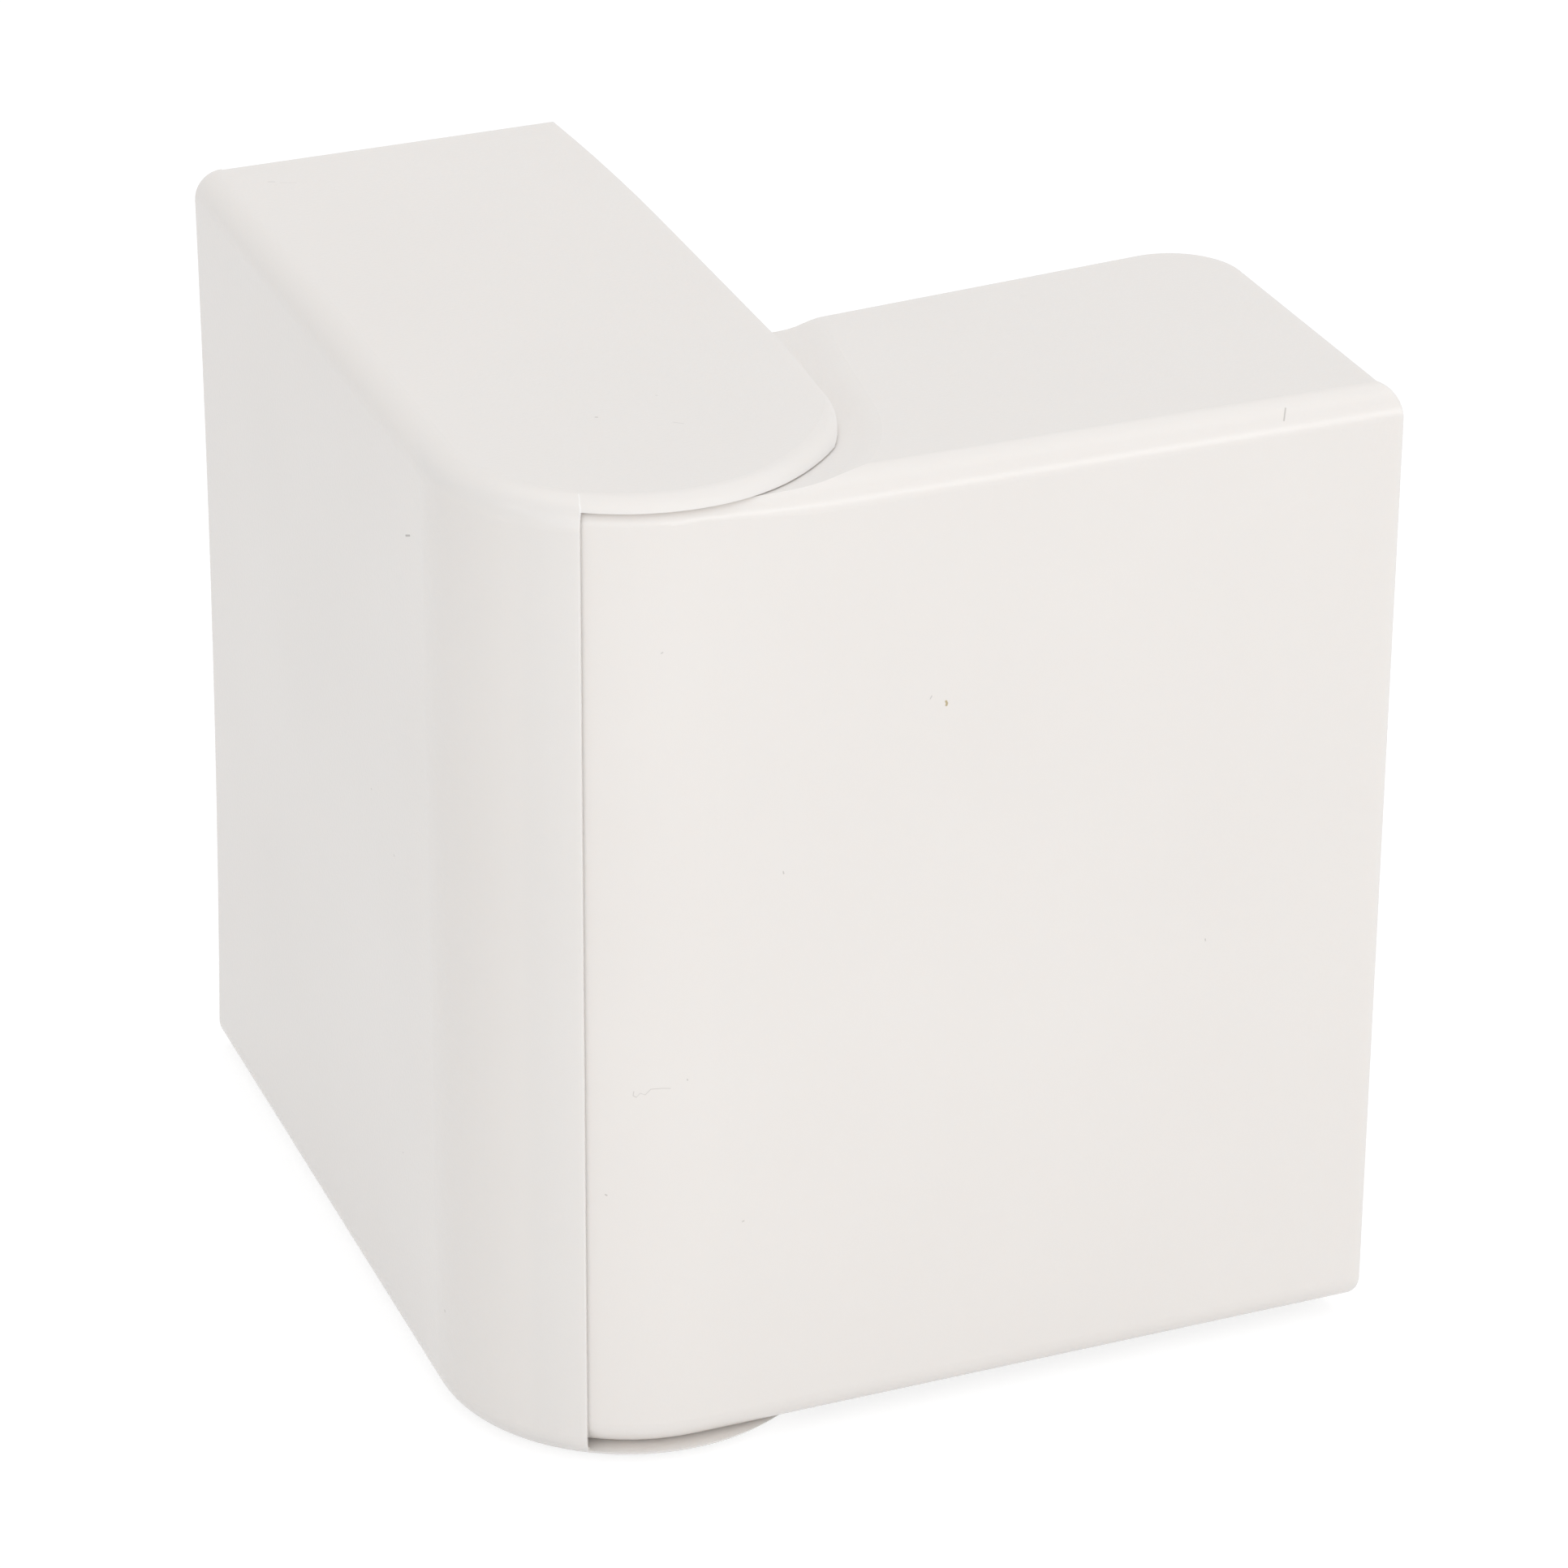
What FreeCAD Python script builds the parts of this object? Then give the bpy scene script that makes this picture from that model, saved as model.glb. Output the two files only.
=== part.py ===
"""Adjustable external corner for wall trunking: two moulded shells hinged about the vertical axis.

The hinge axis is Z and the underside of the outer shell lies at z = 0. The outer shell's arm runs
along +Y with its front towards -X. The inner shell is modelled with its arm along +X and its front
towards -Y, and is then turned about Z to the angle at which the pair was photographed.
"""
import FreeCAD, Part
import math
import os

import Sketcher

doc = FreeCAD.newDocument("adjustable_external_corner")

# Driving dimensions in millimetres and degrees
SIZES = (
    ("cover_height", 144.5, "outer shell, underside to top"),
    ("outer_radius", 28.2, "outside of the round corner, also front face to hinge axis"),
    ("wall_step", 1.05, "outer shell's wall-side edge beyond that radius"),
    ("wall_spread", 2.5, "inner arm's wall-side edge beyond the outer one, at the arm's end"),
    ("wall_taper", 5.1, "inner arm's wall-side edge against its front face"),
    ("outer_arm", 111.4, "hinge axis to the end of the outer shell"),
    ("inner_arm", 102.0, "hinge axis to the end of the inner shell"),
    ("wall_ease_start", 43.0, "before the outer arm's end, where its wall-side edge begins to curve in"),
    ("wall_ease_radius", 600.0, "radius of that curve"),
    ("outer_end_slant", 3.4, "end of the outer arm's upper plate against the square"),
    ("bow_radius", 950.0, "hollow curve along the end of the outer front wall"),
    ("bow_depth", 4.3, "deepest point of that curve, short of the arm's end"),
    ("bow_level", 92.0, "height of that deepest point"),
    ("inner_end_slant", 1.2, "end of the inner arm's plates against the square"),
    ("inner_end_setback", 2.1, "those plates end this far short of the front wall"),
    ("front_wall", 2.0, "front walls of both shells"),
    ("plate_wall", 1.6, "top and bottom walls of the outer shell"),
    ("skin_wall", 0.7, "thin skin of the round corner that laps over the inner shell"),
    ("inner_plate", 1.6, "top and bottom walls of the inner shell"),
    ("nested_wall", 1.6, "round wall of the inner shell behind the skin"),
    ("lap_gap", 0.25, "clearance between the skin and the round wall behind it"),
    ("seat_gap", 0.2, "clearance above and below the nested plates"),
    ("edge_radius", 4.2, "large outer edge radius of both shells"),
    ("nested_radius", 1.8, "upper edge radius of the round end where it nests"),
    ("cavity_radius", 1.6, "inside edge radius of the outer shell"),
    ("inner_bend", 1.0, "inside edge radius of the inner shell"),
    ("blend_length", 16.0, "along the inner arm, from the nested edge radius to the large one"),
    ("lead_angle", 3.0, "where the round end leaves the circle for the wall-side edge"),
    ("fade_angle", 55.0, "where the round end's edge radius begins to fade towards the wall side"),
    ("fade_shift", 15.0, "how much wider the curve is along which that radius fades"),
    ("seam_angle", 58.9, "from the outer front face round to the seam"),
    ("seam_edge", 0.15, "small radius along the seam's edge"),
    ("nested_wrap", 50.0, "from the inner front face round to the hidden edge of its round wall"),
    ("rest_angle", 87.7, "between the arms as photographed"),
    ("tightest_angle", 80.0, "between the arms when fully closed"),
    ("top_drop", 0.9, "inner arm's top below the outer shell's top"),
    ("seat_margin", 0.2, "seat floor beyond the outline of the round end"),
    ("ramp_run", 6.4, "length of the ramp that sweeps from the seat up to the arm's top"),
    ("ramp_past", 0.02, "how far the ramp's upper bend runs past the arm's top"),
    ("corner_radius", 10.0, "plan corner at the inner arm's end, wall side"),
    ("pivot_radius", 4.0, "moulded hinge stubs"),
    ("pivot_clearance", 0.05, "radial running clearance of the stubs"),
    ("pivot_tip", 0.8, "stub tip beyond the inner plate, also its lead-in chamfer"),
    ("cut_past", 8.0, "how far cutting profiles run past the open sides"),
)

sheet = doc.addObject("Spreadsheet::Sheet", "Sizes")
for row, (alias, number, note) in enumerate(SIZES, start=1):
    sheet.set("A%d" % row, alias)
    sheet.set("B%d" % row, str(number))
    sheet.set("C%d" % row, note)
    sheet.setAlias("B%d" % row, alias)
doc.recompute()


def value(expression):
    """Number that an expression on the sheet gives."""
    return float(sheet.evalExpression(expression))


# Levels and radii worked out from the driving dimensions
CEILING = "(Sizes.cover_height - Sizes.plate_wall)"
SEAT_TOP = "(Sizes.cover_height - Sizes.plate_wall - Sizes.seat_gap)"
INNER_TOP = "(Sizes.cover_height - Sizes.top_drop)"
INNER_BASE = "(Sizes.plate_wall + Sizes.seat_gap)"
INNER_FLOOR = "(Sizes.plate_wall + Sizes.seat_gap + Sizes.inner_plate)"
INNER_CEILING = "(Sizes.cover_height - Sizes.plate_wall - Sizes.seat_gap - Sizes.inner_plate)"
INNER_RADIUS = "(Sizes.outer_radius - Sizes.skin_wall - Sizes.lap_gap)"
SKIN_INSIDE = "(Sizes.outer_radius - Sizes.skin_wall)"
OUTER_INSIDE = "(Sizes.outer_radius - Sizes.front_wall)"
INNER_INSIDE = "(%s - Sizes.front_wall)" % INNER_RADIUS
NESTED_INSIDE = "(%s - Sizes.nested_wall)" % INNER_RADIUS
OUTER_PAST = "(Sizes.outer_radius + Sizes.cut_past)"
OUTER_WALL = "(Sizes.outer_radius + Sizes.wall_step)"
INNER_WALL = "(%s + Sizes.wall_spread)" % OUTER_WALL
WALL_PAST = "(%s + Sizes.cut_past)" % INNER_WALL
SEAT_RADIUS = "(Sizes.outer_radius + Sizes.seat_margin)"
CLOSING = "(90 - Sizes.tightest_angle)"


def origin_plane(body, role):
    """One of a body's own origin planes, found by its role."""
    return next(item for item in body.Origin.OriginFeatures if item.Role == role)


def new_body(label):
    body = doc.addObject("PartDesign::Body", label)
    body.Label = label
    return body


def new_sketch(body, name, role="XY_Plane", offset=None, turn=None):
    """Sketch on an origin plane, lifted along its normal and turned about the hinge axis."""
    sketch = body.newObject("Sketcher::SketchObject", name)
    sketch.AttachmentSupport = [(origin_plane(body, role), "")]
    sketch.MapMode = "FlatFace"
    if offset:
        sketch.setExpression("AttachmentOffset.Base.z", offset)
    if turn:
        upright = FreeCAD.Vector(0, -1, 0)
        sketch.AttachmentOffset = FreeCAD.Placement(FreeCAD.Vector(), FreeCAD.Rotation(upright, 1))
        sketch.setExpression("AttachmentOffset.Rotation.Angle", turn)
    return sketch


def pin_point(sketch, index, end, place):
    """Hold one end of a sketch element at the coordinates that two expressions give."""
    for kind, axis, expression in (("DistanceX", -2, place[0]), ("DistanceY", -1, place[1])):
        if expression == "0":
            sketch.addConstraint(Sketcher.Constraint("PointOnObject", index, end, axis))
            continue
        rule = Sketcher.Constraint(kind, -1, 1, index, end, value(expression))
        number = sketch.addConstraint(rule)
        sketch.setExpression("Constraints[%d]" % number, expression)


def draw_outline(sketch, points):
    """Closed outline. Each point is (x, y) for a straight run to the next point, or
    (x, y, centre x, centre y, radius, side) for an arc, whose side is 1 when it turns left."""
    count = len(points)
    places = [tuple(value(text) for text in point[:2]) for point in points]
    for index, point in enumerate(points):
        start = FreeCAD.Vector(*places[index], 0)
        finish = FreeCAD.Vector(*places[(index + 1) % count], 0)
        if len(point) == 2:
            sketch.addGeometry(Part.LineSegment(start, finish), False)
            continue
        centre = FreeCAD.Vector(value(point[2]), value(point[3]), 0)
        circle = Part.Circle(centre, FreeCAD.Vector(0, 0, 1), value(point[4]))
        first = math.atan2(start.y - centre.y, start.x - centre.x)
        last = math.atan2(finish.y - centre.y, finish.x - centre.x)
        if point[5] < 0:
            first, last = last, first
        if last <= first:
            last += 2 * math.pi
        sketch.addGeometry(Part.ArcOfCircle(circle, first, last), False)

    def ends(index):
        backwards = len(points[index]) > 2 and points[index][5] < 0
        return (2, 1) if backwards else (1, 2)

    for index, point in enumerate(points):
        following = (index + 1) % count
        joint = Sketcher.Constraint("Coincident", index, ends(index)[1], following, ends(following)[0])
        sketch.addConstraint(joint)
    for index, point in enumerate(points):
        pin_point(sketch, index, ends(index)[0], point[:2])
        if len(point) > 2:
            number = sketch.addConstraint(Sketcher.Constraint("Radius", index, value(point[4])))
            sketch.setExpression("Constraints[%d]" % number, point[4])


def draw_circle(sketch, radius):
    """Circle about the sketch's origin."""
    circle = Part.Circle(FreeCAD.Vector(), FreeCAD.Vector(0, 0, 1), value(radius))
    sketch.addGeometry(circle, False)
    sketch.addConstraint(Sketcher.Constraint("Coincident", 0, 3, -1, 1))
    number = sketch.addConstraint(Sketcher.Constraint("Radius", 0, value(radius)))
    sketch.setExpression("Constraints[%d]" % number, radius)


def extrude(body, kind, name, sketch, length, reverse=False):
    """Pad or Pocket of a sketch over a length given by an expression."""
    before = body.Tip.Shape.Volume if body.Tip else 0
    feature = body.newObject("PartDesign::" + kind, name)
    feature.Profile = sketch
    feature.Reversed = reverse
    feature.setExpression("Length", length)
    sketch.Visibility = False
    doc.recompute()
    change = feature.Shape.Volume - before
    if (change > -1) if kind == "Pocket" else (change < 1):
        raise ValueError("%s changed nothing" % name)
    return feature


def round_edges(body, name, wanted, radius):
    """Fillet on the edges of the body's tip that the test picks."""
    base = body.Tip
    picked = ["Edge%d" % number for number, edge in enumerate(base.Shape.Edges, 1) if wanted(edge)]
    if not picked:
        raise ValueError("no edge found for " + name)
    feature = body.newObject("PartDesign::Fillet", name)
    feature.Base = (base, picked)
    feature.setExpression("Radius", radius)
    doc.recompute()
    return feature


def lies_flat_at(edge, level, tolerance=1e-4):
    """True for an edge that runs level at the given height."""
    box = edge.BoundBox
    return abs(box.ZMin - level) < tolerance and abs(box.ZMax - level) < tolerance


def make_outer_shell():
    """Outer shell: front wall, round skin up to the seam, top and bottom walls with round ends."""
    body = new_body("outer_shell")
    fade_x = "Sizes.outer_radius * cos(Sizes.fade_angle)"
    fade_y = "-Sizes.outer_radius * sin(Sizes.fade_angle)"
    wide_x = "-Sizes.fade_shift * cos(Sizes.fade_angle)"
    wide_y = "Sizes.fade_shift * sin(Sizes.fade_angle)"
    wide_radius = "(Sizes.outer_radius + Sizes.fade_shift)"
    wide_side = "%s + %s" % (wide_x, wide_radius)
    plan = new_sketch(body, "outer_plan")
    draw_outline(plan, [
        ("-Sizes.outer_radius", "Sizes.outer_arm"),
        ("-Sizes.outer_radius", "0", "0", "0", "Sizes.outer_radius", 1),
        (fade_x, fade_y, wide_x, wide_y, wide_radius, 1),
        (wide_side, wide_y),
        (wide_side, "Sizes.outer_arm"),
    ])
    extrude(body, "Pad", "outer_block", plan, "Sizes.cover_height")
    height = value("Sizes.cover_height")
    radius = value("Sizes.outer_radius")

    def outer_edge(edge):
        if not (lies_flat_at(edge, 0) or lies_flat_at(edge, height)):
            return False
        box = edge.BoundBox
        return box.XMax < -radius + 1e-3 or box.YMin < -radius + 1e-3

    round_edges(body, "outer_edges", outer_edge, "Sizes.edge_radius")

    # The true outline cuts the wider block, so the edge radius fades out towards the wall side
    lead_x = "Sizes.outer_radius * cos(Sizes.lead_angle)"
    lead_y = "-Sizes.outer_radius * sin(Sizes.lead_angle)"
    lead_run = "((%s - %s) / sin(Sizes.lead_angle))" % (OUTER_WALL, lead_x)
    ease_y = "Sizes.outer_arm - Sizes.wall_ease_start"
    ease_centre = "(%s - Sizes.wall_ease_radius)" % OUTER_WALL
    ease_run = "(Sizes.wall_ease_start + Sizes.cut_past)"
    ease_end = "%s + sqrt(Sizes.wall_ease_radius ^ 2 - %s ^ 2)" % (ease_centre, ease_run)
    trim = new_sketch(body, "outer_trim_plan")
    draw_outline(trim, [
        (fade_x, fade_y, "0", "0", "Sizes.outer_radius", 1),
        (lead_x, lead_y),
        (OUTER_WALL, "%s + %s * cos(Sizes.lead_angle)" % (lead_y, lead_run)),
        (OUTER_WALL, ease_y, ease_centre, ease_y, "Sizes.wall_ease_radius", 1),
        (ease_end, "Sizes.outer_arm + Sizes.cut_past"),
        (wide_side + " + Sizes.cut_past", "Sizes.outer_arm + Sizes.cut_past"),
        (wide_side + " + Sizes.cut_past", fade_y),
    ])
    extrude(body, "Pocket", "outer_trim", trim, "Sizes.cover_height", True)

    # Arm's end: upper plate slightly off square, front wall with a slightly hollow end
    edge_line = "-(Sizes.outer_radius - Sizes.edge_radius)"
    plate_run = "(%s - %s)" % (OUTER_WALL, edge_line)
    past_end = "Sizes.outer_arm + Sizes.cut_past"
    end_plan = new_sketch(body, "outer_end_plan", offset="Sizes.cover_height / 2")
    draw_outline(end_plan, [
        (edge_line, "Sizes.outer_arm - %s * tan(Sizes.outer_end_slant)" % plate_run),
        (OUTER_WALL + " + Sizes.cut_past",
         "Sizes.outer_arm + Sizes.cut_past * tan(Sizes.outer_end_slant)"),
        (OUTER_WALL + " + Sizes.cut_past", past_end),
        (edge_line, past_end),
    ])
    extrude(body, "Pocket", "outer_end", end_plan, "Sizes.cover_height / 2", True)

    bow = new_sketch(body, "outer_bow_section", "YZ_Plane", offset=edge_line)
    bow_centre = "(Sizes.outer_arm - Sizes.bow_depth + Sizes.bow_radius)"
    bow_at = bow_centre + " - sqrt(Sizes.bow_radius ^ 2 - (%s - Sizes.bow_level) ^ 2)"
    bow_base = "-Sizes.plate_wall"
    bow_head = "Sizes.cover_height + Sizes.plate_wall"
    draw_outline(bow, [
        (bow_at % ("(%s)" % bow_base), bow_base, bow_centre, "Sizes.bow_level", "Sizes.bow_radius", -1),
        (bow_at % ("(%s)" % bow_head), bow_head),
        (past_end, bow_head),
        (past_end, bow_base),
    ])
    extrude(body, "Pocket", "outer_bow", bow, "2 * Sizes.edge_radius")

    # Hollow: the round nest, the arm's channel, and the opening in the skin from the seam onwards
    nest = new_sketch(body, "nest_section", "XZ_Plane")
    draw_outline(nest, nest_outline(SKIN_INSIDE, "Sizes.plate_wall", CEILING, "Sizes.cavity_radius"))
    groove(body, "nest", nest)

    channel = new_sketch(body, "outer_channel_section", "XZ_Plane")
    front = "-" + OUTER_INSIDE
    bend = "%s + Sizes.cavity_radius" % front
    low = "Sizes.plate_wall + Sizes.cavity_radius"
    high = "%s - Sizes.cavity_radius" % CEILING
    draw_outline(channel, [
        (WALL_PAST, CEILING),
        (bend, CEILING, bend, high, "Sizes.cavity_radius", 1),
        (front, high),
        (front, low, bend, low, "Sizes.cavity_radius", 1),
        (bend, "Sizes.plate_wall"),
        (WALL_PAST, "Sizes.plate_wall"),
    ])
    extrude(body, "Pocket", "outer_channel", channel, "Sizes.outer_arm + Sizes.cut_past")

    opening = new_sketch(body, "seam_opening_plan", offset="Sizes.plate_wall")
    seam_x = "-%s * cos(Sizes.seam_angle)"
    seam_y = "-%s * sin(Sizes.seam_angle)"
    draw_outline(opening, [
        ("0", "0"),
        (seam_x % OUTER_PAST, seam_y % OUTER_PAST),
        (seam_x % OUTER_PAST, "-" + OUTER_PAST),
        (WALL_PAST, "-" + OUTER_PAST),
        (WALL_PAST, "Sizes.outer_arm / 2"),
        ("0", "Sizes.outer_arm / 2"),
    ])
    clear_height = "Sizes.cover_height - 2 * Sizes.plate_wall"
    extrude(body, "Pocket", "seam_opening", opening, clear_height, True)

    lip_x = value(seam_x % "Sizes.outer_radius")
    lip_y = value(seam_y % "Sizes.outer_radius")

    def seam_lip(edge):
        box = edge.BoundBox
        upright = box.ZLength > height / 2 and box.XLength < 1e-4 and box.YLength < 1e-4
        return upright and math.hypot(box.XMax - lip_x, box.YMax - lip_y) < 1e-3

    round_edges(body, "seam_lip", seam_lip, "Sizes.seam_edge")

    # Hinge stubs on the inner faces of the round ends
    stub = "Sizes.seat_gap + Sizes.inner_plate + Sizes.pivot_tip"
    for name, level, downwards in (("lower_stub", "Sizes.plate_wall", False), ("upper_stub", CEILING, True)):
        ring = new_sketch(body, name + "_plan", offset=level)
        draw_circle(ring, "Sizes.pivot_radius")
        extrude(body, "Pad", name, ring, stub, downwards)
    tips = (value("Sizes.plate_wall + " + stub), value(CEILING + " - (" + stub + ")"))
    base = body.Tip
    picked = ["Edge%d" % number for number, edge in enumerate(base.Shape.Edges, 1)
              if any(lies_flat_at(edge, level) for level in tips)]
    chamfer = body.newObject("PartDesign::Chamfer", "stub_lead_ins")
    chamfer.Base = (base, picked)
    chamfer.setExpression("Size", "Sizes.pivot_tip / 2")
    doc.recompute()
    return body


def groove(body, name, sketch):
    """Full turn of a section about the hinge axis, cut away."""
    before = body.Tip.Shape.Volume
    feature = body.newObject("PartDesign::Groove", name)
    feature.Profile = sketch
    feature.ReferenceAxis = (sketch, ["V_Axis"])
    feature.Angle = 360
    sketch.Visibility = False
    doc.recompute()
    if feature.Shape.Volume > before - 1:
        raise ValueError("%s cut nothing" % name)
    return feature


def nest_outline(radius, low, high, bend):
    """Half section of a round hollow about the hinge axis, with rounded upper and lower edges."""
    inset = "%s - %s" % (radius, bend)
    return [
        ("0", low),
        (inset, low, inset, "%s + %s" % (low, bend), bend, 1),
        (radius, "%s + %s" % (low, bend)),
        (radius, "%s - %s" % (high, bend), inset, "%s - %s" % (high, bend), bend, 1),
        (inset, high),
        ("0", high),
    ]


def arm_section(body, name, offset, top, top_radius):
    """Section of the inner shell across its arm, with its two front edges rounded."""
    front = "-" + INNER_RADIUS
    sketch = new_sketch(body, name, "YZ_Plane", offset)
    low_y = "%s + Sizes.edge_radius" % front
    low_z = "%s + Sizes.edge_radius" % INNER_BASE
    high_y = "%s + %s" % (front, top_radius)
    high_z = "%s - %s" % (top, top_radius)
    draw_outline(sketch, [
        (INNER_WALL, top),
        (high_y, top, high_y, high_z, top_radius, 1),
        (front, high_z),
        (front, low_z, low_y, low_z, "Sizes.edge_radius", 1),
        (low_y, INNER_BASE),
        (INNER_WALL, INNER_BASE),
    ])
    return sketch


def make_inner_shell():
    """Inner shell: front wall, top and bottom walls, nested round end, sunk seat with its ramp."""
    body = new_body("inner_shell")
    arm = arm_section(body, "arm_section", "Sizes.blend_length", INNER_TOP, "Sizes.edge_radius")
    extrude(body, "Pad", "arm_block", arm, "Sizes.inner_arm - Sizes.blend_length")

    near = arm_section(body, "blend_start", None, SEAT_TOP, "Sizes.nested_radius")
    far = arm_section(body, "blend_finish", "Sizes.blend_length", INNER_TOP, "Sizes.edge_radius")
    blend = body.newObject("PartDesign::AdditiveLoft", "blend_block")
    blend.Profile = near
    blend.Sections = [far]
    blend.Ruled = True
    doc.recompute()

    taper = new_sketch(body, "wall_taper_plan")
    near_wall = "%s - Sizes.inner_arm * tan(Sizes.wall_taper)" % INNER_WALL
    draw_outline(taper, [
        ("0", near_wall),
        ("Sizes.inner_arm", INNER_WALL),
        ("Sizes.inner_arm", WALL_PAST),
        ("0", WALL_PAST),
    ])
    extrude(body, "Pocket", "wall_taper", taper, "Sizes.cover_height", True)

    set_x = "(Sizes.inner_arm - Sizes.inner_end_setback)"
    set_y = "-(%s - Sizes.edge_radius)" % INNER_RADIUS
    set_run = "(%s - %s)" % (WALL_PAST, set_y)
    end_past = "Sizes.inner_arm + Sizes.cut_past"
    end_plan = new_sketch(body, "inner_end_plan")
    draw_outline(end_plan, [
        ("Sizes.inner_arm", "-" + INNER_RADIUS),
        (end_past, "-" + INNER_RADIUS),
        (end_past, WALL_PAST),
        ("%s + %s * tan(Sizes.inner_end_slant)" % (set_x, set_run), WALL_PAST),
        (set_x, set_y),
    ])
    extrude(body, "Pocket", "inner_end", end_plan, "Sizes.cover_height", True)

    end = new_sketch(body, "round_end_section", "XZ_Plane")
    shoulder = INNER_RADIUS + " - Sizes.nested_radius"
    foot = INNER_RADIUS + " - Sizes.edge_radius"
    draw_outline(end, [
        ("0", INNER_BASE),
        (foot, INNER_BASE, foot, INNER_BASE + " + Sizes.edge_radius", "Sizes.edge_radius", 1),
        (INNER_RADIUS, INNER_BASE + " + Sizes.edge_radius"),
        (INNER_RADIUS, SEAT_TOP + " - Sizes.nested_radius",
         shoulder, SEAT_TOP + " - Sizes.nested_radius", "Sizes.nested_radius", 1),
        (shoulder, SEAT_TOP),
        ("0", SEAT_TOP),
    ])
    turned = body.newObject("PartDesign::Revolution", "round_end")
    turned.Profile = end
    turned.ReferenceAxis = (end, ["V_Axis"])
    turned.Angle = 360
    doc.recompute()

    middle_x = value("Sizes.inner_arm / 2")

    def plan_corner(edge):
        box = edge.BoundBox
        upright = box.ZLength > 10 and box.XLength < 1e-4 and box.YLength < 1e-4
        return upright and box.XMin > middle_x and box.YMin > 0

    round_edges(body, "plan_corner", plan_corner, "Sizes.corner_radius")

    # Hollow: behind the round wall, the arm's channel, and the open back past the hidden edge
    nest = new_sketch(body, "inner_nest_section", "XZ_Plane")
    draw_outline(nest, nest_outline(NESTED_INSIDE, INNER_FLOOR, INNER_CEILING, "Sizes.inner_bend"))
    groove(body, "inner_nest", nest)

    channel = new_sketch(body, "inner_channel_section", "YZ_Plane")
    front = "-" + INNER_INSIDE
    bend = "%s + Sizes.inner_bend" % front
    low = "%s + Sizes.inner_bend" % INNER_FLOOR
    high = "%s - Sizes.inner_bend" % INNER_CEILING
    draw_outline(channel, [
        (WALL_PAST, INNER_CEILING),
        (bend, INNER_CEILING, bend, high, "Sizes.inner_bend", 1),
        (front, high),
        (front, low, bend, low, "Sizes.inner_bend", 1),
        (bend, INNER_FLOOR),
        (WALL_PAST, INNER_FLOOR),
    ])
    extrude(body, "Pocket", "inner_channel", channel, "Sizes.inner_arm + Sizes.cut_past", True)

    back = new_sketch(body, "open_back_plan", offset=INNER_FLOOR)
    wrap_x = "-%s * sin(Sizes.nested_wrap)" % OUTER_PAST
    wrap_y = "-%s * cos(Sizes.nested_wrap)" % OUTER_PAST
    draw_outline(back, [
        ("0", "0"),
        ("Sizes.outer_arm / 2", "0"),
        ("Sizes.outer_arm / 2", WALL_PAST),
        ("-" + OUTER_PAST, WALL_PAST),
        ("-" + OUTER_PAST, wrap_y),
        (wrap_x, wrap_y),
    ])
    extrude(body, "Pocket", "open_back", back, INNER_CEILING + " - " + INNER_FLOOR, True)

    # Seat for the outer shell's round end: its floor, then a ramp of two bends up to the arm's top
    rise = "(%s - %s + Sizes.ramp_past)" % (INNER_TOP, SEAT_TOP)
    bend_radius = "((Sizes.ramp_run ^ 2 + %s ^ 2) / (4 * %s))" % (rise, rise)
    halfway = "%s + Sizes.ramp_run / 2" % SEAT_RADIUS
    ramp_head = "%s + Sizes.ramp_run" % SEAT_RADIUS
    crest = "%s + Sizes.ramp_past" % INNER_TOP
    above = "%s + Sizes.cut_past" % INNER_TOP
    seat_outline = [
        ("0", SEAT_TOP),
        (SEAT_RADIUS, SEAT_TOP, SEAT_RADIUS, "%s + %s" % (SEAT_TOP, bend_radius), bend_radius, 1),
        (halfway, "%s + %s / 2" % (SEAT_TOP, rise),
         ramp_head, "%s - %s" % (crest, bend_radius), bend_radius, -1),
        (ramp_head, crest),
        (ramp_head, above),
        ("0", above),
    ]
    round_seat = new_sketch(body, "round_seat_section", "XZ_Plane")
    draw_outline(round_seat, seat_outline)
    groove(body, "round_seat", round_seat)

    side_seat = new_sketch(body, "side_seat_section", "XZ_Plane", turn=CLOSING)
    draw_outline(side_seat, seat_outline)
    extrude(body, "Pocket", "side_seat", side_seat, "2 * " + INNER_WALL)

    # Bearing holes for the hinge stubs, through both plates
    bearing = new_sketch(body, "bearing_plan")
    draw_circle(bearing, "Sizes.pivot_radius + Sizes.pivot_clearance")
    extrude(body, "Pocket", "bearings", bearing, "Sizes.cover_height", True)

    body.Placement = FreeCAD.Placement(
        FreeCAD.Vector(), FreeCAD.Rotation(FreeCAD.Vector(0, 0, -1), value("Sizes.rest_angle") - 90))
    body.setExpression("Placement.Rotation.Angle", "Sizes.rest_angle - 90")
    doc.recompute()
    return body


shells = [make_outer_shell(), make_inner_shell()]
doc.recompute()

for item in doc.Objects:
    if "Invalid" in item.State or "Error" in item.State:
        raise RuntimeError("%s did not recompute" % item.Name)
for shell in shells:
    if shell.Shape.isNull() or not shell.Shape.isValid() or len(shell.Shape.Solids) != 1:
        raise RuntimeError("%s is not one valid solid" % shell.Label)

os.makedirs("parts", exist_ok=True)
for shell in shells:
    shell.Shape.exportStep("parts/%s.step" % shell.Label)
    box = shell.Shape.BoundBox
    print(shell.Label, "volume %.0f mm3" % shell.Shape.Volume,
          "x %.2f..%.2f y %.2f..%.2f z %.2f..%.2f" % (
              box.XMin, box.XMax, box.YMin, box.YMax, box.ZMin, box.ZMax))
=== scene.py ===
"""Looks of the adjustable external corner: moulded plastic, handling marks, studio and camera."""
import math

import bpy
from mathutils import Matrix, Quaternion, Vector


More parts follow.
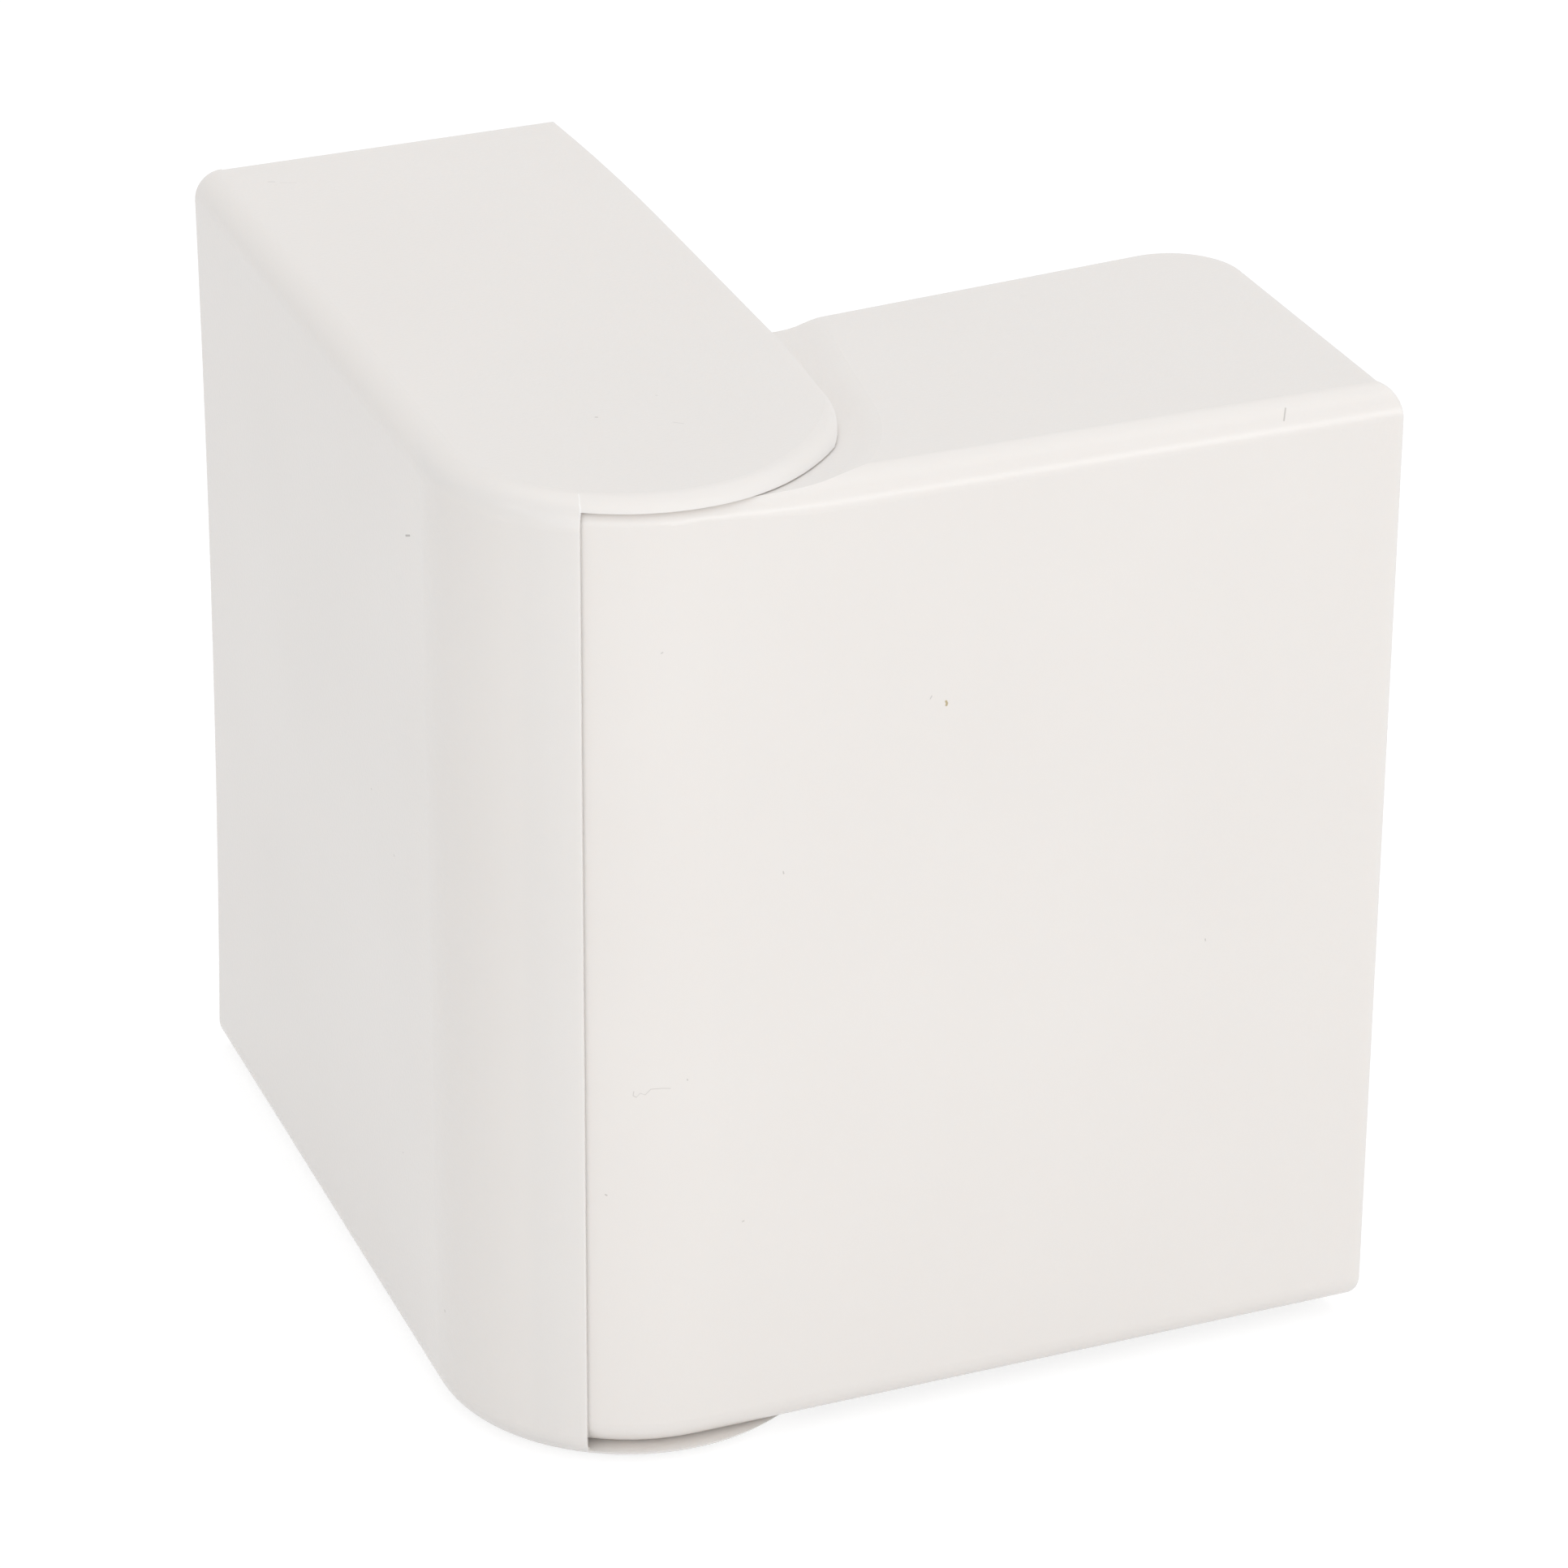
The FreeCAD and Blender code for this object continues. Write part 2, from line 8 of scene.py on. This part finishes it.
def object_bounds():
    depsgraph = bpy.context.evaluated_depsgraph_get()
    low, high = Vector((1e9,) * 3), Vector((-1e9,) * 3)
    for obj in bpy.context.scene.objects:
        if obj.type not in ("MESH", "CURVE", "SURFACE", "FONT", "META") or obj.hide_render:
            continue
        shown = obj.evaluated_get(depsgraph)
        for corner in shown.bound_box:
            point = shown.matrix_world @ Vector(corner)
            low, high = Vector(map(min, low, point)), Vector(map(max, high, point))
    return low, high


bl_info = {
    "name": "Adjustable External Corner",
    "version": (1, 0, 0),
    "blender": (4, 5, 0),
    "location": "3D View > Sidebar > Corner",
    "description": "Finishes the trunking corner's two moulded shells and sets up its studio",
    "category": "Object",
}

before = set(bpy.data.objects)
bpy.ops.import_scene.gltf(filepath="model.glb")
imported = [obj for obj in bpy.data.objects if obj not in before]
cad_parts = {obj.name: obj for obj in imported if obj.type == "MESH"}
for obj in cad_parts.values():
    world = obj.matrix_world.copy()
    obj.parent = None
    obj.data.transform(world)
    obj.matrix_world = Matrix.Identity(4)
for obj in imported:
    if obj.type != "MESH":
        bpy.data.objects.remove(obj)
CAD_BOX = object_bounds()
MM = 0.001

# Plastic: its refraction, and how far red, green and blue light reach in it beside each other
REFRACTION = 1.5
GLOW_REACH = (1.0, 0.92, 0.84)

# Cloudy tone: its stops as (noise, tone), its share of the colour, and what it adds to the roughness
CLOUD_STOPS = ((0.3, 0.0), (0.7, 1.0))
CLOUD_TINT = 0.5
CLOUD_SATIN = 0.05

# Height of the slow waves in the walls, in depths of the mould grain
WAVE_DEPTH = 12

# Marks on each shell, each as its points and width in millimetres and its share of the colour
DIRT = {
    "outer_shell": (
        # Dark dash and specks on the front wall and the corner skin
        (((-28.2, 7.50, 128.97), (-28.2, 5.70, 129.72)), 0.30, 0.62),
        (((-28.2, 26.11, 82.84), (-28.2, 26.4, 82.9)), 0.20, 0.30),
        (((-28.2, 15.99, 77.31), (-28.2, 16.3, 77.4)), 0.22, 0.30),
        (((-28.2, 14.89, 31.29), (-28.2, 15.1, 31.2)), 0.20, 0.25),
        (((-28.05, -2.74, 15.43), (-28.05, -2.80, 15.2)), 0.24, 0.40),
        # Specks on the disc
        (((-3.16, 2.4, 144.5), (-2.98, 2.32, 144.5)), 0.30, 0.35),
        (((5.99, -2.64, 144.5), (7.02, -3.59, 144.5)), 0.22, 0.14),
        (((6.84, 6.84, 144.5), (7.0, 6.7, 144.5)), 0.22, 0.16),
        # Faint smudge near the arm's end
        (((-19.05, 101.24, 144.5), (-18.28, 100.97, 144.5)), 0.34, 0.14),
        (((-17.49, 100.34, 144.5), (-15.39, 99.59, 144.5)), 0.26, 0.09),
    ),
    "inner_shell": (
        # Hair on the top edge
        (((85.94, -22.00, 142.85), (85.56, -22.63, 142.33), (85.22, -23.19, 141.66)), 0.24, 0.34),
        # Faint mark above the scorch
        (((34.06, -25.91, 110.32), (33.86, -25.92, 109.95)), 0.18, 0.28),
        # Short crooked scratch
        (((-8.13, -26.00, 58.35), (-8.23, -25.96, 57.73), (-7.81, -26.09, 57.47)), 0.14, 0.24),
        (((-7.81, -26.09, 57.47), (-7.29, -26.24, 58.07), (-6.66, -26.42, 57.80)), 0.12, 0.18),
        (((-6.66, -26.42, 57.80), (-5.91, -26.58, 58.61), (-4.50, -26.87, 58.62),
          (-3.29, -27.04, 58.48)), 0.13, 0.22),
        # Specks on the front wall
        (((-0.93, -27.23, 59.51), (-0.90, -27.23, 59.40)), 0.20, 0.30),
        (((-11.76, -24.56, 42.40), (-11.6, -24.64, 42.3)), 0.22, 0.35),
        (((7.15, -26.98, 35.84), (7.35, -26.97, 35.9)), 0.20, 0.30),
        (((-4.37, -26.88, 123.0), (-4.2, -26.92, 123.1)), 0.20, 0.26),
        (((12.81, -26.76, 88.21), (12.9, -26.76, 87.9)), 0.20, 0.30),
        (((76.15, -24.21, 65.76), (76.2, -24.21, 65.5)), 0.20, 0.30),
    ),
}
SCORCH = {
    "outer_shell": (),
    "inner_shell": (
        (((36.16, -25.82, 109.16), (36.30, -25.82, 108.85), (36.22, -25.82, 108.60)), 0.36, 0.75),
    ),
}
# Parting line where the mould closes, on the outer shell's top edge by the seam: painted lighter than
# the plastic, a painted highlight along the line
PARTING_LINE_HIGHLIGHT = {
    "outer_shell": (
        (((-13.51, -20.89, 144.40), (-13.71, -21.78, 144.11), (-13.93, -22.44, 143.73)), 0.22, 0.55),
        (((-13.93, -22.44, 143.73), (-14.02, -23.01, 143.29), (-14.15, -23.40, 142.80)), 0.24, 0.75),
    ),
    "inner_shell": (),
}

# Distances from a mark's line, in widths, up to which it is full and beyond which it is gone
MARK_CORE = 0.2
MARK_EDGE = 0.7

# Floor of paper: what it shows of itself, what it shows of the light on it, and what it sheds back
PAPER_GLOW = 0.78
PAPER_SHADED = 0.32
PAPER_BOUNCE = 0.80
FLOOR_GAP = 0.0002

# Each lamp's place from the middle of the corner, then its width and height, in metres
LAMPS = {
    "key": ((0.72, -1.41, 0.22), (1.4, 0.45)),
    "fill": ((-0.40, -0.69, 0.17), (1.1, 0.8)),
    "top": ((0.30, 0.15, 1.60), (2.2, 2.2)),
    "left": ((-1.05, -0.19, 0.63), (0.18, 0.18)),
}

# Camera: the photograph's width in pixels, the sensor's width, and the nearest and farthest it sees
PHOTO_SIDE = 1932
SENSOR_MM = 36.0
CLIP = (0.01, 100)

# Sockets by number on a Mix node that mixes colours
MIX_FIRST = 6
MIX_SECOND = 7
MIX_RESULT = 2


class PlasticSettings(bpy.types.PropertyGroup):
    """Colour and surface of the moulded plastic."""
    colour: bpy.props.FloatVectorProperty(
        name="Colour", description="Colour of the plastic", subtype="COLOR",
        size=3, min=0, max=1, default=(0.872, 0.840, 0.812))
    shade: bpy.props.FloatVectorProperty(
        name="Shade", description="Colour of the faint cloudy tone in the plastic", subtype="COLOR",
        size=3, min=0, max=1, default=(0.850, 0.817, 0.789))
    dirt: bpy.props.FloatVectorProperty(
        name="Dirt", description="Colour of specks, a hair and scratches", subtype="COLOR",
        size=3, min=0, max=1, default=(0.16, 0.14, 0.12))
    scorch: bpy.props.FloatVectorProperty(
        name="Scorch", description="Colour of the scorched speck in the front wall", subtype="COLOR",
        size=3, min=0, max=1, default=(0.42, 0.30, 0.08))
    # Painted highlight: the parting line's colour is lighter than the plastic, standing in for light
    # caught along the line
    parting_line_highlight: bpy.props.FloatVectorProperty(
        name="Parting line", description="Colour of the fine line left where the mould closes",
        subtype="COLOR", size=3, min=0, max=1, default=(0.97, 0.955, 0.94))
    glow: bpy.props.FloatProperty(
        name="Glow", description="Share of the light that scatters inside the plastic",
        subtype="FACTOR", min=0, max=1, default=0.30)
    glow_depth: bpy.props.FloatProperty(
        name="Glow depth", description="How far light travels inside the plastic", unit="LENGTH",
        min=0, max=0.01, default=0.0010)
    roughness: bpy.props.FloatProperty(
        name="Roughness", description="Satin of the moulded surface", subtype="FACTOR",
        min=0.05, max=1, default=0.22)
    grain_size: bpy.props.FloatProperty(
        name="Grain size", description="Width of one grain of the spark-eroded mould texture",
        unit="LENGTH", min=0.0001, max=0.01, default=0.0006)
    grain_depth: bpy.props.FloatProperty(
        name="Grain depth", description="Depth of the mould texture", unit="LENGTH",
        min=0, max=0.001, default=0.000012)
    wave_size: bpy.props.FloatProperty(
        name="Wave size", description="Width of the slow waves in the walls and of the cloudy tone",
        unit="LENGTH", min=0.005, max=0.2, default=0.045)


class StageSettings(bpy.types.PropertyGroup):
    """Studio: camera, lamps and floor."""
    azimuth: bpy.props.FloatProperty(
        name="Azimuth", description="Direction of the camera about the upright axis",
        subtype="ANGLE", default=math.radians(-20.68))
    elevation: bpy.props.FloatProperty(
        name="Elevation", description="Height of the camera above the horizon",
        subtype="ANGLE", default=math.radians(25.99))
    roll: bpy.props.FloatProperty(
        name="Roll", description="Tilt of the camera about its line of sight",
        subtype="ANGLE", default=math.radians(0.394))
    distance: bpy.props.FloatProperty(
        name="Distance", description="From the camera to the point it looks at", unit="LENGTH",
        default=0.890)
    aim_right: bpy.props.FloatProperty(
        name="Aim right", description="Aim to the right of the hinge axis", unit="LENGTH",
        default=0.02146)
    aim_up: bpy.props.FloatProperty(
        name="Aim up", description="Aim above the middle of the hinge axis", unit="LENGTH",
        default=0.01704)
    focal_pixels: bpy.props.FloatProperty(
        name="Focal length", description="Focal length in pixels of the photograph",
        subtype="PIXEL", default=7997)
    floor_size: bpy.props.FloatProperty(
        name="Floor", description="Width of the floor", unit="LENGTH", default=6.0)
    world_strength: bpy.props.FloatProperty(
        name="World", description="Strength of the even light from all sides", min=0, default=0.655)
    key_power: bpy.props.FloatProperty(
        name="Key lamp", description="Power of the large lamp at the right front",
        unit="POWER", min=0, default=4.3)
    fill_power: bpy.props.FloatProperty(
        name="Fill lamp", description="Power of the lamp at the left front",
        unit="POWER", min=0, default=1.55)
    top_power: bpy.props.FloatProperty(
        name="Top lamp", description="Power of the broad lamp above",
        unit="POWER", min=0, default=7.7)
    left_power: bpy.props.FloatProperty(
        name="Left lamp", description="Power of the small lamp on the left",
        unit="POWER", min=0, default=0.25)


class Socket:
    """A node's output that takes part in Python arithmetic by adding Math nodes."""

    def __init__(self, tree, output):
        self.tree = tree
        self.output = output

    def math(self, operation, other):
        return self.tree.add("ShaderNodeMath", {"operation": operation}, [self, other])

    def __add__(self, other):
        return self.math("ADD", other)

    __radd__ = __add__

    def __mul__(self, other):
        return self.math("MULTIPLY", other)

    __rmul__ = __mul__

    def least(self, other):
        return self.math("MINIMUM", other)

    def greatest(self, other):
        return self.math("MAXIMUM", other)


class Tree:
    """A material's or world's node tree, with one method that adds any node."""

    def __init__(self, owner):
        owner.use_nodes = True
        self.nodes = owner.node_tree.nodes
        self.links = owner.node_tree.links
        self.nodes.clear()

    def add(self, kind, settings=None, inputs=(), output=0):
        """Node of a type, its settings made first, then its sockets by order or by name."""
        node = self.nodes.new(kind)
        for name, setting in (settings or {}).items():
            if name == "stops":
                self.set_stops(node.color_ramp, setting)
            else:
                setattr(node, name, setting)
        named = inputs.items() if isinstance(inputs, dict) else enumerate(inputs)
        for key, given in named:
            if isinstance(given, Socket):
                self.links.new(given.output, node.inputs[key])
            else:
                node.inputs[key].default_value = given
        return Socket(self, node.outputs[output]) if node.outputs else node

    @staticmethod
    def set_stops(ramp, stops):
        """Colour ramp with grey stops, each (position, tone)."""
        while len(ramp.elements) < len(stops):
            ramp.elements.new(1.0)
        for element, (position, tone) in zip(ramp.elements, stops):
            element.position = position
            element.color = grey(tone)

    def mix(self, share, first, second):
        """Colour between two colours."""
        return self.add(
            "ShaderNodeMix", {"data_type": "RGBA"},
            {"Factor": share, MIX_FIRST: first, MIX_SECOND: second}, MIX_RESULT)

    def place(self):
        """Object coordinates, in metres."""
        return self.add("ShaderNodeTexCoord", output="Object")

    def noise(self, place, width, detail):
        """Noise from 0 to 1 whose features are about the given width."""
        return self.add(
            "ShaderNodeTexNoise", None,
            {"Vector": place, "Scale": 1 / width, "Detail": detail}, "Fac")

    def ramp(self, given, stops):
        """Tone at the given value, from a colour ramp's stops."""
        return self.add("ShaderNodeValToRGB", {"stops": stops}, [given])

    def reach(self, place, start, end):
        """Distance to the straight line between two points."""
        along = end - start
        offset = self.add("ShaderNodeVectorMath", {"operation": "SUBTRACT"}, [place, start])
        share = self.add(
            "ShaderNodeVectorMath", {"operation": "DOT_PRODUCT"},
            [offset, along / along.length_squared], "Value")
        share = self.add("ShaderNodeClamp", None, [share, 0.0, 1.0])
        foot = self.add("ShaderNodeVectorMath", {"operation": "SCALE"}, {0: along, "Scale": share})
        return self.add("ShaderNodeVectorMath", {"operation": "DISTANCE"}, [offset, foot], "Value")

    def marks(self, place, rows):
        """From 0 to each mark's share, on thin lines through the marks' points."""
        total = None
        for points, width, share in rows:
            points = [Vector(point) * MM for point in points]
            nearest = None
            for start, end in zip(points, points[1:]):
                reach = self.reach(place, start, end)
                nearest = nearest.least(reach) if nearest else reach
            mask = self.add("ShaderNodeMapRange", {"interpolation_type": "SMOOTHSTEP"}, {
                "Value": nearest,
                "From Min": MARK_CORE * width * MM,
                "From Max": MARK_EDGE * width * MM,
                "To Min": share,
                "To Max": 0.0,
            })
            total = total.greatest(mask) if total else mask
        return total


def rgba(colour):
    """Opaque colour from three values."""
    return (*colour, 1.0)


def grey(tone):
    """Opaque grey from one value."""
    return (tone, tone, tone, 1.0)


def plastic(node, settings):
    """White moulded plastic of one shell: satin, faintly clouded, with grain, slow waves, marks and a
    painted highlight on the parting line.
    """
    material = bpy.data.materials.new(node + "_plastic")
    tree = Tree(material)
    place = tree.place()
    cloud = tree.ramp(tree.noise(place, settings.wave_size, 3.0), CLOUD_STOPS)
    grain = tree.noise(place, settings.grain_size, 1.0)
    waves = tree.noise(place, settings.wave_size, 1.0)
    colour = tree.mix(cloud * CLOUD_TINT, rgba(settings.colour), rgba(settings.shade))
    # Dirt and scorch are marks of the plastic itself; the parting line is painted lighter than the
    # plastic, a painted highlight
    for marks, stain in (
            (DIRT[node], settings.dirt),
            (SCORCH[node], settings.scorch),
            (PARTING_LINE_HIGHLIGHT[node], settings.parting_line_highlight)):
        if marks:
            colour = tree.mix(tree.marks(place, marks), colour, rgba(stain))
    relief = grain * settings.grain_depth + waves * (settings.grain_depth * WAVE_DEPTH)
    bump = tree.add("ShaderNodeBump", None, {"Strength": 1.0, "Distance": 1.0, "Height": relief})
    shader = tree.add("ShaderNodeBsdfPrincipled", None, {
        "Base Color": colour,
        "Roughness": cloud * CLOUD_SATIN + settings.roughness,
        "IOR": REFRACTION,
        "Subsurface Weight": settings.glow,
        "Subsurface Radius": GLOW_REACH,
        "Subsurface Scale": settings.glow_depth,
        "Normal": bump,
    })
    tree.add("ShaderNodeOutputMaterial", None, {"Surface": shader})
    return material


def seen_share(tree):
    """1 for rays of the camera, gloss and glass, and 0 for rays that only shed light."""
    outputs = tree.add("ShaderNodeLightPath").output.node.outputs
    seen = Socket(tree, outputs["Is Camera Ray"])
    for name in ("Is Glossy Ray", "Is Transmission Ray"):
        seen = seen.greatest(Socket(tree, outputs[name]))
    return seen


def seen_white(tree, base):
    """Shader seen as white with a faint shadow, and that sheds light as base does."""
    glow = tree.add("ShaderNodeEmission", None, {"Color": grey(1), "Strength": PAPER_GLOW})
    shaded = tree.add("ShaderNodeBsdfDiffuse", None, {"Color": grey(PAPER_SHADED)})
    white = tree.add("ShaderNodeAddShader", None, [glow, shaded])
    return tree.add("ShaderNodeMixShader", None, [seen_share(tree), base, white])


def studio_world(settings):
    """World that sheds even light and is seen as white."""
    world = bpy.data.worlds.new("studio")
    tree = Tree(world)
    light = tree.add("ShaderNodeBackground", None, [grey(1), settings.world_strength])
    white = tree.add("ShaderNodeBackground", None, [grey(1), 1.0])
    both = tree.add("ShaderNodeMixShader", None, [seen_share(tree), light, white])
    tree.add("ShaderNodeOutputWorld", None, {"Surface": both})
    return world


def paper_floor(settings, height):
    """Broad pale floor just under the given height."""
    bpy.ops.object.select_all(action="DESELECT")
    bpy.ops.mesh.primitive_plane_add(size=settings.floor_size, location=(0, 0, height - FLOOR_GAP))
    floor = bpy.context.object
    floor.name = "studio_floor"
    paper = bpy.data.materials.new("studio_paper")
    tree = Tree(paper)
    base = tree.add("ShaderNodeBsdfDiffuse", None, {"Color": grey(PAPER_BOUNCE)})
    tree.add("ShaderNodeOutputMaterial", None, {"Surface": seen_white(tree, base)})
    floor.data.materials.append(paper)
    return floor


def soft_lamp(name, place, target, size, power):
    """Oblong lamp of a width and height that faces a target."""
    data = bpy.data.lights.new(name, "AREA")
    data.shape = "RECTANGLE"
    data.size, data.size_y = size
    data.energy = power
    lamp = bpy.data.objects.new(name, data)
    bpy.context.scene.collection.objects.link(lamp)
    lamp.location = place
    lamp.rotation_mode = "QUATERNION"
    lamp.rotation_quaternion = (target - place).to_track_quat("-Z", "Y")


def photo_camera(settings, height):
    """Camera at the photograph's viewing angle, aimed from the hinge axis at the given height."""
    data = bpy.data.cameras.new("photo_camera")
    data.sensor_width = SENSOR_MM
    data.lens = settings.focal_pixels * SENSOR_MM / PHOTO_SIDE
    data.clip_start, data.clip_end = CLIP
    camera = bpy.data.objects.new("photo_camera", data)
    bpy.context.scene.collection.objects.link(camera)
    azimuth = settings.azimuth
    elevation = settings.elevation
    back = Vector((
        math.sin(azimuth) * math.cos(elevation),
        -math.cos(azimuth) * math.cos(elevation),
        math.sin(elevation)))
    right = Vector((math.cos(azimuth), math.sin(azimuth), 0))
    up = back.cross(right)
    aim = Vector((0, 0, height)) + right * settings.aim_right + up * settings.aim_up
    camera.location = aim + back * settings.distance
    camera.rotation_mode = "QUATERNION"
    facing = (-back).to_track_quat("-Z", "Y")
    camera.rotation_quaternion = facing @ Quaternion((0, 0, 1), settings.roll)
    return camera


class CORNER_OT_plastic(bpy.types.Operator):
    """Give both moulded shells their white plastic"""
    bl_idname = "corner.plastic"
    bl_label = "Moulded plastic"

    def execute(self, context):
        settings = context.scene.corner_plastic
        for node in ("outer_shell", "inner_shell"):
            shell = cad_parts[node]
            shell.data.materials.clear()
            shell.data.materials.append(plastic(node, settings))
        return {"FINISHED"}


class CORNER_OT_stage(bpy.types.Operator):
    """Set up the floor, the lamps, the world and the camera"""
    bl_idname = "corner.stage"
    bl_label = "Studio"

    def execute(self, context):
        scene = context.scene
        settings = scene.corner_stage
        low, high = CAD_BOX
        middle = (low + high) / 2
        scene.world = studio_world(settings)
        paper_floor(settings, low.z)
        for name, (offset, size) in LAMPS.items():
            power = getattr(settings, name + "_power")
            soft_lamp(name, middle + Vector(offset), middle, size, power)
        scene.camera = photo_camera(settings, middle.z)
        scene.view_settings.view_transform = "Standard"
        return {"FINISHED"}


class CORNER_PT_panel(bpy.types.Panel):
    """Sidebar panel with the corner's settings and steps"""
    bl_label = "External corner"
    bl_space_type = "VIEW_3D"
    bl_region_type = "UI"
    bl_category = "Corner"

    def draw(self, context):
        for settings in (context.scene.corner_plastic, context.scene.corner_stage):
            for name in settings.__annotations__:
                self.layout.prop(settings, name)
        for operator in OPERATORS:
            self.layout.operator(operator.bl_idname)


OPERATORS = (CORNER_OT_plastic, CORNER_OT_stage)
CLASSES = (PlasticSettings, StageSettings, *OPERATORS, CORNER_PT_panel)


def register():
    for item in CLASSES:
        bpy.utils.register_class(item)
    bpy.types.Scene.corner_plastic = bpy.props.PointerProperty(type=PlasticSettings)
    bpy.types.Scene.corner_stage = bpy.props.PointerProperty(type=StageSettings)


def unregister():
    del bpy.types.Scene.corner_stage
    del bpy.types.Scene.corner_plastic
    for item in reversed(CLASSES):
        bpy.utils.unregister_class(item)


def main():
    register()
    bpy.ops.corner.plastic()
    bpy.ops.corner.stage()


if __name__ == "__main__":
    main()
